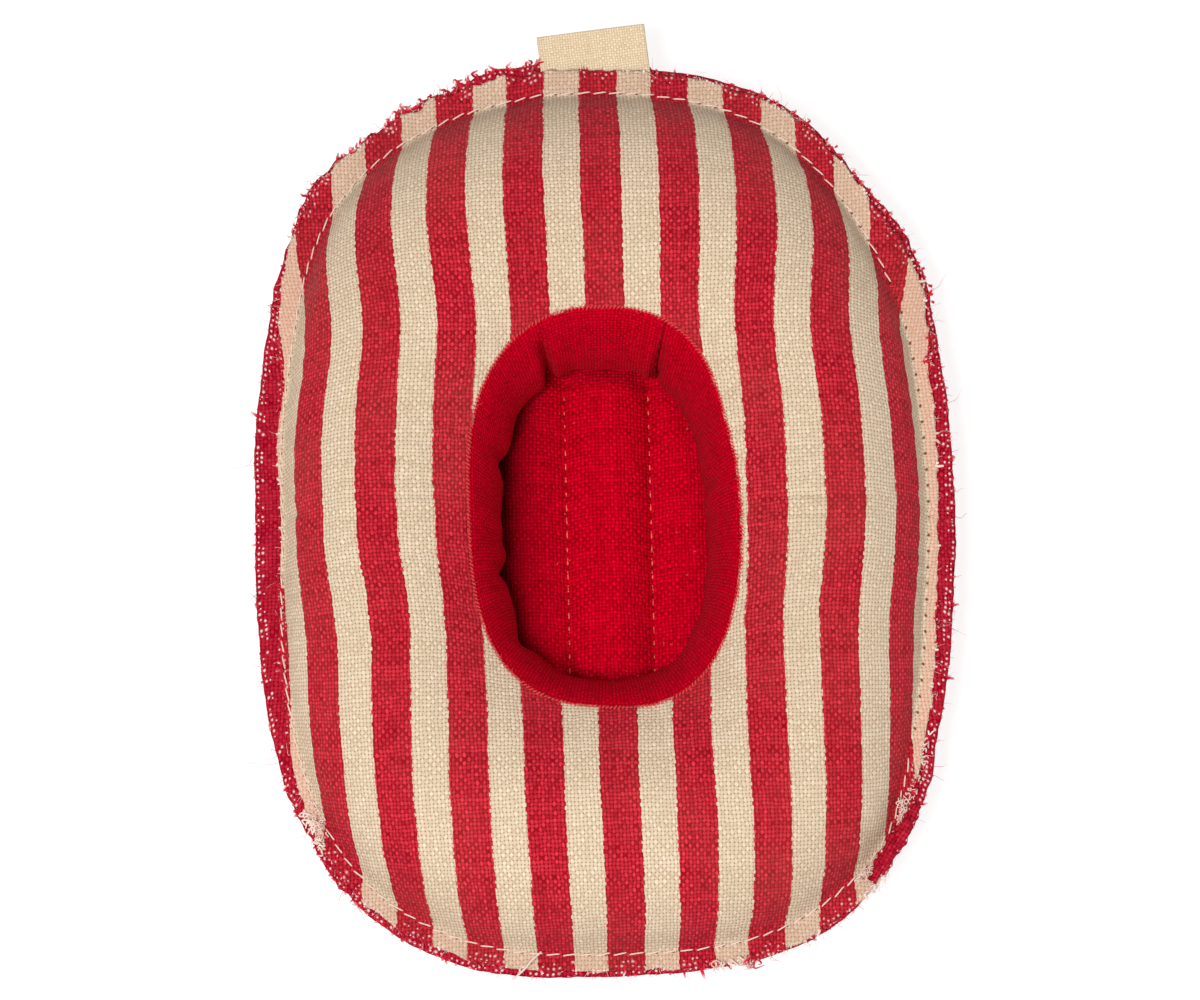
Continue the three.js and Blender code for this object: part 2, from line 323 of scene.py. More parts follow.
def dye(red, green, blue):
    """A colour from its eight-bit display values."""
    parts = [c / 255 for c in (red, green, blue)]
    return tuple(c / 12.92 if c < 0.04045 else ((c + 0.055) / 1.055) ** 2.4 for c in parts) + (1,)


class Nodes:
    """Short names for the nodes of one material."""

    def __init__(self, name):
        self.material = bpy.data.materials.new(name)
        self.material.use_nodes = True
        self.tree = self.material.node_tree
        self.shader = self.tree.nodes["Principled BSDF"]

    def put(self, node, socket, value):
        if isinstance(value, bpy.types.NodeSocket):
            self.tree.links.new(value, node.inputs[socket])
        else:
            node.inputs[socket].default_value = value

    def new(self, kind, output=0, settings=None, **inputs):
        node = self.tree.nodes.new(kind)
        for key, value in (settings or {}).items():
            setattr(node, key, value)
        for socket, value in inputs.items():
            self.put(node, socket.replace("_", " "), value)
        return node.outputs[output]

    def math(self, operation, *values):
        node = self.tree.nodes.new("ShaderNodeMath")
        node.operation = operation
        for i, value in enumerate(values):
            self.put(node, i, value)
        return node.outputs[0]

    def plus(self, first, second):
        return self.math("ADD", first, second)

    def minus(self, first, second):
        return self.math("SUBTRACT", first, second)

    def times(self, first, second):
        return self.math("MULTIPLY", first, second)

    def ratio(self, first, second):
        return self.math("DIVIDE", first, second)

    def times_plus(self, first, second, third):
        return self.math("MULTIPLY_ADD", first, second, third)

    def centred(self, value, width):
        """A value from 0 to 1 turned into one from minus half the width to plus half."""
        return self.times(self.minus(value, 0.5), width)

    def distance(self, x, y):
        return self.math("SQRT", self.plus(self.times(x, x), self.times(y, y)))

    def mix(self, share, first, second):
        node = self.tree.nodes.new("ShaderNodeMix")
        node.data_type = "RGBA"
        self.put(node, "Factor", share)
        self.put(node, 6, first)
        self.put(node, 7, second)
        return node.outputs[2]

    def ramp(self, value, low, high, to_low=0.0, to_high=1.0):
        node = self.tree.nodes.new("ShaderNodeMapRange")
        node.interpolation_type = "SMOOTHSTEP"
        for socket, number in enumerate((value, low, high, to_low, to_high)):
            self.put(node, socket, number)
        return node.outputs[0]

    def uv(self, name):
        where = self.new("ShaderNodeUVMap", settings={"uv_map": name})
        parts = self.tree.nodes.new("ShaderNodeSeparateXYZ")
        self.tree.links.new(where, parts.inputs[0])
        return where, parts.outputs[0], parts.outputs[1]

    def noise(self, vector, scale, detail=2.0):
        return self.new("ShaderNodeTexNoise", Vector=vector, Scale=scale, Detail=detail)

    def random(self, value):
        return self.new("ShaderNodeTexWhiteNoise", settings={"noise_dimensions": "1D"}, W=value)

    def bump(self, height, distance):
        return self.new("ShaderNodeBump", Height=height, Distance=distance, Strength=1.0)

    def surface(self, **inputs):
        for socket, value in inputs.items():
            self.put(self.shader, socket.replace("_", " "), value)
        return self.material

    def finish(self, colour, roughness, normal, sheen=0.1, gloss=0.12, tint=(1, 0.9, 0.85, 1)):
        return self.surface(Base_Color=colour, Roughness=roughness, Normal=normal,
                            Specular_IOR_Level=gloss, Sheen_Weight=sheen, Sheen_Roughness=0.45,
                            Sheen_Tint=tint)


def plain_weave(n, pitch):
    """Over-and-under threads: their height, from 0 in the holes to 1, and a shade for each thread."""
    place, x, y = n.uv("Cloth")
    drift = n.centred(n.noise(place, 190.0), 0.9)
    jitter = n.centred(n.noise(place, 800.0, 0.0), 0.55)
    u = n.plus(n.ratio(x, pitch), n.plus(drift, jitter))
    v = n.plus(n.ratio(y, pitch), n.minus(drift, jitter))
    wave_u = n.math("SINE", n.times(u, math.pi))
    wave_v = n.math("SINE", n.times(v, math.pi))
    sign_u, sign_v = n.math("SIGN", wave_u), n.math("SIGN", wave_v)
    flatness, dip = 0.6, 0.42
    round_u = n.math("POWER", n.math("ABSOLUTE", wave_u), flatness)
    round_v = n.math("POWER", n.math("ABSOLUTE", wave_v), flatness)
    rise_u = n.times_plus(n.times(sign_u, wave_v), dip, 1 - dip)
    rise_v = n.times_plus(n.times(sign_v, wave_u), -dip, 1 - dip)
    warp = n.times(round_u, rise_u)
    weft = n.times(round_v, rise_v)
    height = n.math("MAXIMUM", warp, weft)
    over = n.math("GREATER_THAN", warp, weft)
    index_u, index_v = n.math("FLOOR", u), n.math("FLOOR", v)
    # Uneven factors give each thread and each crossing a random value of its own
    slub_u = n.random(index_u)
    slub_v = n.random(n.plus(index_v, 517.3))
    cell = n.random(n.plus(n.times(index_u, 13.37), n.times(index_v, 7.91)))
    thread = n.plus(n.times(slub_u, over), n.times(slub_v, n.minus(1.0, over)))
    mottle = n.plus(n.times(thread, 0.26), n.times(cell, 0.4))
    shade = n.plus(mottle, n.times_plus(over, 0.3, -0.12))
    return {"place": place, "x": x, "y": y, "height": height, "shade": shade, "row": index_v}


def threads_of(n, weave, hole_shade, low, high, hole_edge=0.45):
    """Colour of one dye, with painted shade in the holes and a painted highlight on the crowns of the
    threads.
    """
    # Painted highlight: the higher the thread, the lighter it is painted
    lift = n.ramp(weave["height"], 0.22, 0.85)
    light = n.times(lift, n.times_plus(weave["shade"], 1.15, 0.12))
    body = n.mix(n.math("MAXIMUM", n.math("MINIMUM", light, 1.0), 0.0), low, high)
    # Painted shade in the holes between the threads
    return n.mix(n.ramp(weave["height"], 0.1, hole_edge), hole_shade, body)


def fibre_bump(n, weave, distance):
    fuzz = n.noise(weave["place"], 9000.0, 3.0)
    return n.bump(n.times_plus(fuzz, 0.25, weave["height"]), distance)


def seam_marks(n, colour, pink):
    """Painted shade in the needle holes along the seam, and the pinker cast of the seam allowance
    outside it.
    """
    _, along, out = n.uv("Seam")
    turn = n.math("FRACT", n.ratio(along, STITCH_PITCH))
    near = n.math("MINIMUM", turn, n.minus(1.0, turn))
    away = n.distance(n.times(near, STITCH_PITCH), n.minus(out, STITCH_OFFSET))
    # Painted shade: a dark spot in each needle hole
    hole_shade = n.ramp(away, 0.12 * MM, 0.34 * MM, 0.9, 0.0)
    allowance = n.ramp(out, 0.2 * MM, 0.9 * MM, 0.0, pink)
    cast = n.mix(allowance, colour, dye(226, 158, 140))
    return n.mix(hole_shade, cast, dye(96, 26, 22))


def loose_edge(n, colour, pale, most=0.95):
    """The last threads before the raw edge part, and two rows of pale gaps show between them."""
    _, inside, _ = n.uv("Edge")
    _, along, _ = n.uv("Seam")
    for depth, pitch, kept in ((0.5 * MM, 0.8 * MM, 0.24), (1.15 * MM, 0.66 * MM, 0.62)):
        place = n.plus(n.ratio(along, pitch), depth / MM)
        number = n.random(n.math("FLOOR", place))
        x = n.centred(n.math("FRACT", place), pitch)
        sway = n.centred(number, 0.25 * MM)
        away = n.distance(x, n.minus(n.minus(inside, depth), sway))
        shown = n.math("GREATER_THAN", number, kept)
        size = n.times_plus(n.random(n.times(number, 91.0)), 0.18 * MM, 0.15 * MM)
        spot = n.ramp(away, 0.02 * MM, size, most, 0.0)
        colour = n.mix(n.times(spot, shown), colour, pale)
    return colour


def stripe_mask(n, x, row, place):
    """1 in the red stripes; their edges step from thread to thread."""
    jag = n.centred(n.random(row), 0.26 * MM)
    drift = n.centred(n.noise(place, 75.0), 0.8 * MM)
    across = n.plus(n.plus(x, jag), drift)
    turn = n.math("FRACT", n.plus(n.ratio(across, STRIPE_PERIOD), 0.5))
    off = n.times(n.math("ABSOLUTE", n.minus(turn, 0.5)), STRIPE_PERIOD)
    return n.ramp(off, STRIPE_WIDTH / 2 - 0.05 * MM, STRIPE_WIDTH / 2 + 0.05 * MM, 1.0, 0.0)


# Each set: the painted shade in the holes between threads, then the darkest and lightest thread
# colours, the lightest partly painted highlight on the crowns
RED_THREADS_AND_SHADE = (dye(58, 0, 8), dye(136, 0, 20), dye(226, 50, 68))
CREAM = (dye(74, 42, 12), dye(198, 173, 145), dye(228, 212, 189))
RED_TINT = (1, 0.3, 0.35, 1)


def striped_cotton():
    n = Nodes("striped_cotton")
    weave = plain_weave(n, THREAD_PITCH)
    red = stripe_mask(n, weave["x"], weave["row"], weave["place"])
    cream = threads_of(n, weave, *CREAM, hole_edge=0.48)
    dyed = threads_of(n, weave, *RED_THREADS_AND_SHADE)
    stained = n.times(n.ramp(n.noise(weave["place"], 45.0), 0.35, 0.75), 0.08)
    aged = n.mix(stained, n.mix(red, cream, dyed), dye(150, 110, 80))
    _, _, out = n.uv("Seam")
    # Painted shade on the slope down to the seam, where the cloth turns away from the light: greyer and
    # duller, strongest at the bow and stern
    seam_slope_shade = n.mix(red, dye(104, 74, 66), dye(96, 12, 30))
    along_float = n.math("ABSOLUTE", weave["y"])
    seam_slope_share = n.ramp(out, -15 * MM, -1 * MM, 0.0, n.ramp(along_float, 35 * MM, 62 * MM, 0.04, 0.17))
    seam_slope_shaded = n.mix(seam_slope_share, aged, seam_slope_shade)
    pink = n.ramp(along_float, 35 * MM, 62 * MM, 0.4, 0.16)
    cast = seam_marks(n, seam_slope_shaded, n.times(n.minus(1.0, red), pink))
    colour = loose_edge(n, cast, dye(246, 224, 218), n.times_plus(red, 0.5, 0.12))
    return n.finish(colour, 0.92, fibre_bump(n, weave, 0.12 * MM), 0.05)


def red_cotton(name, shades, seam=False, pitch=THREAD_PITCH, relief=0.12, worn=0.25, port_wall_shadow=0.0):
    """Red cloth; worn rubs it lighter in patches, and a painted shadow darkens it towards the port
    wall, where the wall hangs over it. Shades are the painted shade in the holes, then the darkest and
    lightest thread colours.
    """
    n = Nodes(name)
    weave = plain_weave(n, pitch)
    rubbed = n.times(n.ramp(n.noise(weave["place"], 380.0, 4.0), 0.4, 0.7), worn)
    colour = n.mix(rubbed, threads_of(n, weave, *shades), shades[2])
    # Painted shadow: darker towards the port wall, where it overhangs the floor
    shaded = n.ramp(weave["x"], -18 * MM, -6 * MM, port_wall_shadow, 0.0)
    colour = n.mix(shaded, colour, dye(60, 0, 4))
    if seam:
        colour = loose_edge(n, seam_marks(n, colour, 0.0), dye(250, 220, 222))
    return n.finish(colour, 0.92, fibre_bump(n, weave, relief * MM), 0.03, 0.0, RED_TINT)


def spun_thread(name, low, high, gloss=0.3):
    n = Nodes(name)
    place = n.new("ShaderNodeTexCoord", 3)
    strands = n.noise(place, 6000.0, 2.0)
    colour = n.mix(strands, low, high)
    return n.finish(colour, 0.6, n.bump(strands, 0.05 * MM), 0.1, gloss)


def raw_yarn(name, striped_cloth):
    """Yarn ends at the raw edges: the cloth's own colour at the root, and undyed at the tip."""
    n = Nodes(name)
    place, x, y = n.uv("Cloth")
    _, share, number = n.uv("Yarn")
    fresh = n.random(n.times(number, 977.0))
    dyed = n.mix(fresh, dye(170, 8, 34), dye(220, 40, 60))
    if striped_cloth:
        red = stripe_mask(n, x, n.math("FLOOR", n.ratio(y, THREAD_PITCH)), place)
        dyed = n.mix(red, n.mix(fresh, dye(214, 180, 160), dye(240, 222, 212)), dyed)
    bleach = n.times(n.ramp(share, 0.45, 1.0), n.ramp(fresh, 0.3, 0.8, 0.25, 0.9))
    colour = n.mix(bleach, dyed, dye(246, 226, 224))
    fuzz = n.noise(n.new("ShaderNodeTexCoord", 3), 7000.0)
    return n.finish(colour, 0.9, n.bump(fuzz, 0.05 * MM), 0.1)


def plain_floor():
    grey, white = (0.35, 0.35, 0.35, 1), (1, 1, 1, 1)
    return Nodes("studio_floor").surface(Base_Color=grey, Roughness=0.95, Specular_IOR_Level=0.1,
                                         Emission_Color=white, Emission_Strength=0.78)


striped = striped_cotton()
underside_red = red_cotton("underside_cotton", (dye(92, 0, 16), dye(138, 0, 26), dye(194, 44, 62)),
                           seam=True)
collar_red = red_cotton("collar_cotton", (dye(80, 0, 8), dye(152, 0, 20), dye(216, 2, 38)),
                        pitch=0.56 * MM, relief=0.16, worn=0.15)
# The floor's colour carries a painted shadow under the overhanging port wall
floor_red = red_cotton("floor_cotton", (dye(84, 0, 6), dye(156, 0, 18), dye(238, 0, 46)), relief=0.2,
                       worn=0.1, port_wall_shadow=0.85)
pale_thread = spun_thread("pale_thread", dye(210, 166, 154), dye(246, 228, 217))
red_thread = spun_thread("red_thread", dye(196, 60, 50), dye(238, 140, 110))
rim_thread = spun_thread("rim_thread", dye(178, 8, 28), dye(236, 88, 86), 0.1)
collar_thread = spun_thread("collar_thread", dye(120, 0, 16), dye(176, 0, 30), 0.0)
striped_yarn = raw_yarn("striped_yarn", True)
red_yarn = raw_yarn("red_yarn", False)


# Ring skins -----------------------------------------------

def flat_cut(angle, radius, turn=GRAIN, shift=STRIPE_SHIFT):
    """The cloth's own plan: unrolled outwards from the rim, with the grain turned from the bow."""
    x, y = radius * np.cos(angle), radius * np.sin(angle)
    return np.stack([x * math.cos(turn) + y * math.sin(turn) - shift,
                     y * math.cos(turn) - x * math.sin(turn)], axis=-1)


def allowance(angle, side):
    """Width of the seam allowance, with the small notches of a hand-cut, frayed edge."""
    width = round_table(angle, STRIPED_EDGE if side > 0 else RED_EDGE)
    nibbled = wander(angle, 31 + side, (9, 17, 29, 43, 71, 97, 131, 167), 0.15 * MM)
    torn = bump(angle, 118, 26) + 0.5 * bump(angle, 46, 20)
    torn += 0.8 * bump(angle, 230, 8) + bump(angle, 312, 9)
    ragged = wander(angle, 41 + side, (37, 53, 79, 103, 139, 179), 0.42 * MM) * torn
    return width + (nibbled + ragged) * np.clip(width / (2 * MM), 0.3, 1)


def flange(angle, out, side):
    """Points of a seam allowance: out is the distance from the seam, side 1 above and -1 below."""
    share = np.clip(out / UNDERSIDE_ALLOWANCE, 0, 1.3)
    wave = wander(angle, 21, (5, 8, 13, 19), 0.4 * MM) * share**1.5
    gape = (0.1 * MM + np.abs(wander(angle, 22 + side, (7, 11, 23), 0.28 * MM))) * share
    height = seam_height(angle) + wave + side * (0.05 * MM + gape)
    height -= 0.9 * MM * share * (1 - np.abs(np.sin(angle)))
    curl = sum(rise * MM * bump(angle, at, width) for at, width, rise in FLANGE_CURLS)
    height += curl * share**2 * (1 if side > 0 else 0.3)
    points = polar(angle, seam_reach(angle) + out - 0.5 * curl * share, height)
    if side > 0:
        points[..., 2] += CLOTH + label_lift(points[..., 0], points[..., 1])
    return points


TOP_RINGS, FLANGE_RINGS = 60, 9
dome_share = np.linspace(0, 1, TOP_RINGS)[None, :]
flange_share = np.linspace(0, 1, FLANGE_RINGS + 1)[None, 1:]
rim, seam = rim_reach(ring), seam_reach(ring)
dome = polar(ring, rim + (seam - rim) * dome_share, top_height(ring, dome_share))
dome[..., 2] += label_lift(dome[..., 0], dome[..., 1]) * smooth(dome_share, 0.85, 1.0)
hem = polar(ring, rim + np.array([[0.9, 0.25, 0.0]]) * MM,
            rim_height(ring) - np.array([[1.3, 0.8, 0.3]]) * MM)
HEM_RINGS = hem.shape[1]
seam_column = HEM_RINGS + TOP_RINGS - 1


def pressed_out(points, pressure=2.6, spare=0.012, most=0.9 * MM, frames=22):
    """The dome filled by pressure in the cloth simulation, and sewn down at its rim and seam.

    It runs on every third row round the float and every second ring, at a hundred times the size,
    and the shift that it finds is added to the whole grid.
    """
    scale = 100
    coarse = points[::3, np.r_[0:points.shape[1]:2, -1]]
    rows, columns = coarse.shape[:2]
    piece = mesh_object("dome_in_simulation", coarse.reshape(-1, 3) * scale, grid_faces(rows, columns))
    sewn = piece.vertex_groups.new(name="sewn")
    index = np.arange(rows * columns).reshape(rows, columns)
    sewn.add(index[:, [0, -1]].ravel().tolist(), 1.0, "REPLACE")
    cloth = piece.modifiers.new("stuffing", "CLOTH")
    settings = dict(quality=6, mass=0.3, tension_stiffness=40, compression_stiffness=40,
                    shear_stiffness=12, bending_stiffness=2.0, shrink_min=-spare, use_pressure=True,
                    uniform_pressure_force=pressure, vertex_group_mass="sewn")
    for setting, value in settings.items():
        setattr(cloth.settings, setting, value)
    cloth.settings.effector_weights.gravity = 0
    cloth.point_cache.frame_start, cloth.point_cache.frame_end = 1, frames
    scene = bpy.context.scene
    for number in range(1, frames + 1):
        scene.frame_set(number)
    solved = piece.evaluated_get(bpy.context.evaluated_depsgraph_get()).to_mesh()
    moved = np.empty(rows * columns * 3, np.float32)
    solved.vertices.foreach_get("co", moved)
    shift = moved.reshape(rows, columns, 3) / scale - coarse
    bpy.data.objects.remove(piece)
    scene.frame_set(1)
    length = np.linalg.norm(shift, axis=2, keepdims=True)
    shift *= np.minimum(1, most / np.maximum(length, 1e-9))
    print("SIMULATED dome: most shift mm", round(float(length.max()) * 1000, 3))
    at_row = np.arange(points.shape[0]) / 3
    at_column = np.linspace(0, columns - 1, points.shape[1])
    low_row, low_column = at_row.astype(int), np.minimum(at_column.astype(int), columns - 2)
    part_row = (at_row - low_row)[:, None, None]
    part_column = (at_column - low_column)[None, :, None]
    next_row = (low_row + 1) % rows
    low_row = low_row % rows
    near = shift[low_row] * (1 - part_row) + shift[next_row] * part_row
    return points + near[:, low_column] * (1 - part_column) + near[:, low_column + 1] * part_column


dome = pressed_out(dome)
# Small gathers where the cloth is sewn down along the seam and the rim
gathers = wander(ring, 17, (47, 61, 73, 89), 0.16 * MM) * smooth(dome_share, 0.78, 0.96)
gathers += wander(ring, 18, (19, 27, 33, 41), 0.14 * MM) * (1 - smooth(dome_share, 0.02, 0.2))
dome[..., 2] += gathers * smooth(dome_share, 0.0, 0.03) * (1 - smooth(dome_share, 0.97, 1.0))

top_flange = flange(ring, flange_share * allowance(ring, 1), 1)
top_grid = np.concatenate([hem, dome, top_flange], axis=1)
unrolled = path_length(top_grid)
unrolled -= unrolled[:, HEM_RINGS:HEM_RINGS + 1]
seam_run = line_length(top_grid[:, seam_column])[:, None]


def seam_maps(run, seam_at):
    """Maps of a skin with a raw edge: the place along and across the seam, and in from the edge."""
    out = run - seam_at
    along = np.broadcast_to(seam_run, out.shape)
    inside = np.abs(out - (run.max(axis=1, keepdims=True) - seam_at))
    return [("Seam", np.stack([along, out], axis=-1)), ("Edge", np.stack([inside, inside], axis=-1))]


top_flat = flat_cut(ring, rim + unrolled)
# The cloth is pulled wide beside the cockpit, so its stripes crowd in above and below it
along_float = top_flat[..., 1]
crowded = 0.05 * np.exp(-(((along_float - 28 * MM) / (11 * MM)) ** 2))
crowded += 0.052 * smooth(-along_float, 2 * MM, 22 * MM) + 0.006
top_flat[..., 0] *= 1 + crowded
top_flat[..., 0] -= 0.5 * MM * smooth(-along_float, 35 * MM, 65 * MM)
top_flat[..., 0] -= 0.9 * MM * bump(ring, 38, 12) * smooth(unrolled, 15 * MM, 32 * MM)
top_maps = [("Cloth", top_flat)] + seam_maps(unrolled, unrolled[:, seam_column][:, None])
striped_panel = grid_piece("striped_panel", top_grid, top_maps, striped)
thicken(striped_panel, CLOTH)

# Underside: flat where it rests, rising to the seam round the bilge
UNDER_RINGS = 56
under_share = np.linspace(0, 1, UNDER_RINGS)[None, :]
rise = np.clip((under_share - 0.70) / 0.30, 0, 1) ** 2.1
under = polar(ring, under_share * seam, rise * (seam_height(ring) - 0.05 * MM))
under_flange = flange(ring, flange_share * allowance(ring, -1), -1)
under_grid = np.concatenate([under, under_flange], axis=1)
under_run = path_length(under_grid)
under_flat = flat_cut(ring, under_run, math.radians(0.6), 0.0)
under_maps = [("Cloth", under_flat)] + seam_maps(under_run, under_run[:, UNDER_RINGS - 1][:, None])
underside = grid_piece("underside_cloth", under_grid[:, ::-1],
                       [(name, values[:, ::-1]) for name, values in under_maps], underside_red)
thicken(underside, CLOTH)


# Cockpit --------------------------------------------------

# Folds in the wall: angle, depth in mm, half width in degrees, and how far down the wall they start
FOLDS = [(110, 2.9, 2.0, 0.02), (71, 2.6, 1.8, 0.02), (150, 1.2, 5.0, 0.25), (178, 0.5, 5.0, 0.4),
         (206, 1.2, 4.5, 0.25), (236, 1.1, 5.0, 0.25), (262, 0.6, 6.0, 0.3), (300, 0.5, 6.0, 0.4),
         (20, 0.35, 5.0, 0.4), (345, 0.3, 6.0, 0.4)]
WALL_RINGS = 44
wall_share = np.linspace(0, 1, WALL_RINGS)[None, :]
foot = reach(ring, FOOT_HALF, RIM_POWERS)
foot += -0.35 * MM * np.sin(2 * ring) + 0.9 * MM * bump(ring, 90, 35)
# The wall leans in as far as its belly, and turns back under it, most on the port side
BELLY_SHARE = 0.66
belly = np.sin(np.minimum(wall_share / BELLY_SHARE, 1) * math.pi / 2) ** 0.8
hollowed = np.clip(0.55 - 0.45 * np.cos(ring - 0.25) + 0.35 * bump(ring, 90, 22), 0, 1)
undercut = 2.8 * MM * smooth(wall_share, BELLY_SHARE, 0.98) * hollowed
flat_wall = 0.8 * MM * bump(ring, 90.5, 13) * smooth(wall_share, 0.2, 0.7)
wall_radius = rim - (rim - foot) * belly + undercut - flat_wall
for at, depth, width, start in FOLDS:
    fading = 1 - 0.9 * smooth(wall_share, 0.78, 1)
    pull = depth * MM * smooth(wall_share, start, start + 0.35) * fading
    wall_radius = wall_radius + pull * (bump(ring, at, width) - 0.3 * bump(ring, at, 3 * width))
dents = wander(ring, 16, (9, 13, 17, 23), 0.16 * MM) * np.sin(math.pi * wall_share)
wall_radius = wall_radius + dents
wall_height = rim_height(ring) + (FOOT_HEIGHT - rim_height(ring)) * wall_share**1.05
roll = polar(ring, rim + np.array([[0.75, 0.55, 0.2]]) * MM,
             rim_height(ring) + np.array([[-1.3, -0.35, 0.12]]) * MM)
wall_grid = np.concatenate([roll, polar(ring, wall_radius, wall_height)], axis=1)
wall_run = path_length(wall_grid)
# The weave runs round from the joining seam, which lies in the starboard tuck
JOIN_ANGLE = 72.5
JOIN_ROW = int(JOIN_ANGLE / 360 * AROUND)
rim_line = np.roll(wall_grid[:, roll.shape[1]], -JOIN_ROW, axis=0)
rim_run = np.roll(line_length(rim_line), JOIN_ROW)
wall_map = np.stack([np.broadcast_to(rim_run[:, None], wall_run.shape), wall_run], axis=-1)
collar = grid_piece("collar_cloth", wall_grid[:, ::-1], [("Cloth", wall_map[:, ::-1])], collar_red)
thicken(collar, CLOTH)

# Floor: channels between two quilting lines that lean with the grain
CHANNEL_PITCH, FLOOR_OFFSET, FLOOR_LEAN = 12.8 * MM, 0.8 * MM, math.radians(1.3)
VALLEY_HEIGHT, CHANNEL_RISE = 1.9 * MM, 3.5 * MM
QUILT_PITCH = 2.2 * MM


def floor_height(x, y):
    across = (x - FLOOR_OFFSET) * math.cos(FLOOR_LEAN) + y * math.sin(FLOOR_LEAN)
    phase = across / CHANNEL_PITCH
    puff = np.abs(np.cos(math.pi * phase)) ** 0.72
    off = np.abs((phase % 1) - 0.5) * CHANNEL_PITCH
    dimples = 0.16 * MM * np.exp(-((off / (1.6 * MM)) ** 2)) * np.cos(TURN * y / QUILT_PITCH)
    return VALLEY_HEIGHT + CHANNEL_RISE * puff + dimples


floor_share = np.linspace(0, 1, 90)[None, :]
floor_radius = floor_share * (wall_radius[:, -10:].max(axis=1, keepdims=True) + 0.25 * MM)
floor_x, floor_y = floor_radius * np.cos(ring), floor_radius * np.sin(ring)
settled = 0.2 - 0.15 * np.cos(ring) + 0.22 * bump(ring, 90, 28)
floor_z = floor_height(floor_x, floor_y) * (1 - settled * smooth(floor_share, 0.82, 1.0))
floor_grid = np.stack([floor_x, floor_y, floor_z], axis=-1)
floor_flat = flat_cut(ring, floor_radius * 1.08, FLOOR_LEAN, 0.0)
floor_panel = grid_piece("floor_quilt", floor_grid, [("Cloth", floor_flat)], floor_red)
thicken(floor_panel, CLOTH)


# Filling --------------------------------------------------

def filling():
    n = Nodes("filling")
    place = n.new("ShaderNodeTexCoord", 3)
    fluff = n.noise(place, 900.0, 6.0)
    return n.finish(n.mix(fluff, (0.72, 0.72, 0.70, 1), (0.9, 0.9, 0.88, 1)), 1.0,
                    n.bump(fluff, 0.4 * MM), 0.2)


white_fill = filling()
GAP = 0.8 * MM


def moved_off(points, radial, lift):
    """Points of a skin moved out from the middle and up, to leave room for its cloth."""
    planar = np.linalg.norm(points[..., :2], axis=-1, keepdims=True)
    moved = points.copy()
    moved[..., :2] *= 1 + radial / np.maximum(planar, 1e-6)
    moved[..., 2] += lift
    return moved


# Every fourth row and third ring of the skins is enough for what fills them
fill_grid = np.concatenate([
    moved_off(dome[::4, 4:-2:3], 0, -GAP),
    moved_off(under[::4, 25:-4:3], -GAP * 0.3, GAP)[:, ::-1],
    moved_off(wall_grid[::4, 6:-4:3], GAP * 1.3, 0)[:, ::-1],
], axis=1)
ring_fill = grid_piece("ring_filling", fill_grid, [], white_fill, tube=True)

pad_top = moved_off(floor_grid[::4, :-6:4], 0, -GAP)
pad_base = pad_top.copy()
pad_base[..., 2] = GAP
floor_fill = grid_piece("floor_filling", np.concatenate([pad_top, pad_base[:, ::-1]], axis=1), [],
                        white_fill)


# Stitches -------------------------------------------------

def stitches(name, line, material, pitch, length, slant, radius, up, closed=True, sink=(0, 0)):
    """Thread lying on the cloth from hole to hole; sink lowers it, by depths spaced along the line."""
    middle, ahead, at = resample(line, pitch, closed)
    rng = np.random.default_rng(7)
    up = np.broadcast_to(up, middle.shape)
    beside = unit(np.cross(up, ahead))
    t = np.linspace(-1, 1, 9)
    lengths = length / 2 * rng.normal(1, 0.07, len(middle))
    slants = slant * rng.normal(1, 0.3, len(middle))
    depth = np.interp(at, np.linspace(0, 1, len(sink)), sink)
    arch = radius * (1.3 * (1 - np.abs(t) ** 3) - 0.75)
    paths = (middle[:, None] + ahead[:, None] * (t[None, :] * lengths[:, None])[..., None]
             + beside[:, None] * (t[None, :] * (lengths * slants)[:, None])[..., None]
             + up[:, None] * (arch[None, :] - depth[:, None])[..., None])
    radii = np.broadcast_to(radius * (1 - 0.3 * np.abs(t) ** 5), paths.shape[:2])
    return tubes(name, paths, radii, 8, material)


def seam_offset_line(side):
    """The stitching line, with a stitch starting at each needle hole of the cloth's map."""
    line = flange(ring, np.full((AROUND, 1), STITCH_OFFSET), side)[:, 0]
    line[:, 2] -= CLOTH * (side < 0)
    return line


# The upper stitches sink into the cloth along the starboard side
buried = 0.2 * MM * (bump(angles, 0, 28) > 0.2)
perimeter = (pale_thread, STITCH_PITCH, STITCH_LENGTH, 0.13, THREAD_RADIUS)
needle_stitches = stitches("perimeter_stitches_top", seam_offset_line(1), *perimeter, UP, sink=buried)
bobbin_stitches = stitches("perimeter_stitches_under", seam_offset_line(-1), *perimeter, -UP)

quilting = []
for side, name in ((-1, "quilting_stitches_left"), (1, "quilting_stitches_right")):
    y = np.linspace(-22.5, 22.0, 90) * MM
    x = FLOOR_OFFSET + (side * CHANNEL_PITCH / 2 - y * math.sin(FLOOR_LEAN)) / math.cos(FLOOR_LEAN)
    line = np.stack([x, y, floor_height(x, y)], axis=1)
    quilting.append(stitches(name, line, red_thread, QUILT_PITCH, 1.15 * MM, 0.06, 0.15 * MM, UP,
                             closed=False))

rim_edge = polar(angles, rim_reach(angles) + 0.22 * MM, rim_height(angles) + 0.2 * MM)
rim_stitches = stitches("rim_stitches", rim_edge, rim_thread, 0.58 * MM, 0.42 * MM, 1.1, 0.12 * MM, UP)

foot_edge = polar(angles, wall_radius[:, -1] - 0.2 * MM, np.full(AROUND, FOOT_HEIGHT))
foot_stitches = stitches("collar_foot_stitches", foot_edge, collar_thread, STITCH_PITCH, 1.3 * MM, 0.05,
                         0.12 * MM, UP)

join_in = -np.array((math.cos(angles[JOIN_ROW]), math.sin(angles[JOIN_ROW]), 0.0))
join_line = wall_grid[JOIN_ROW, 6:-3] - join_in * 0.05 * MM
join_stitches = stitches("collar_joining_stitches", join_line, collar_thread, STITCH_PITCH, 1.4 * MM,
                         0.0, 0.1 * MM, join_in, closed=False)


# Frayed edges ---------------------------------------------

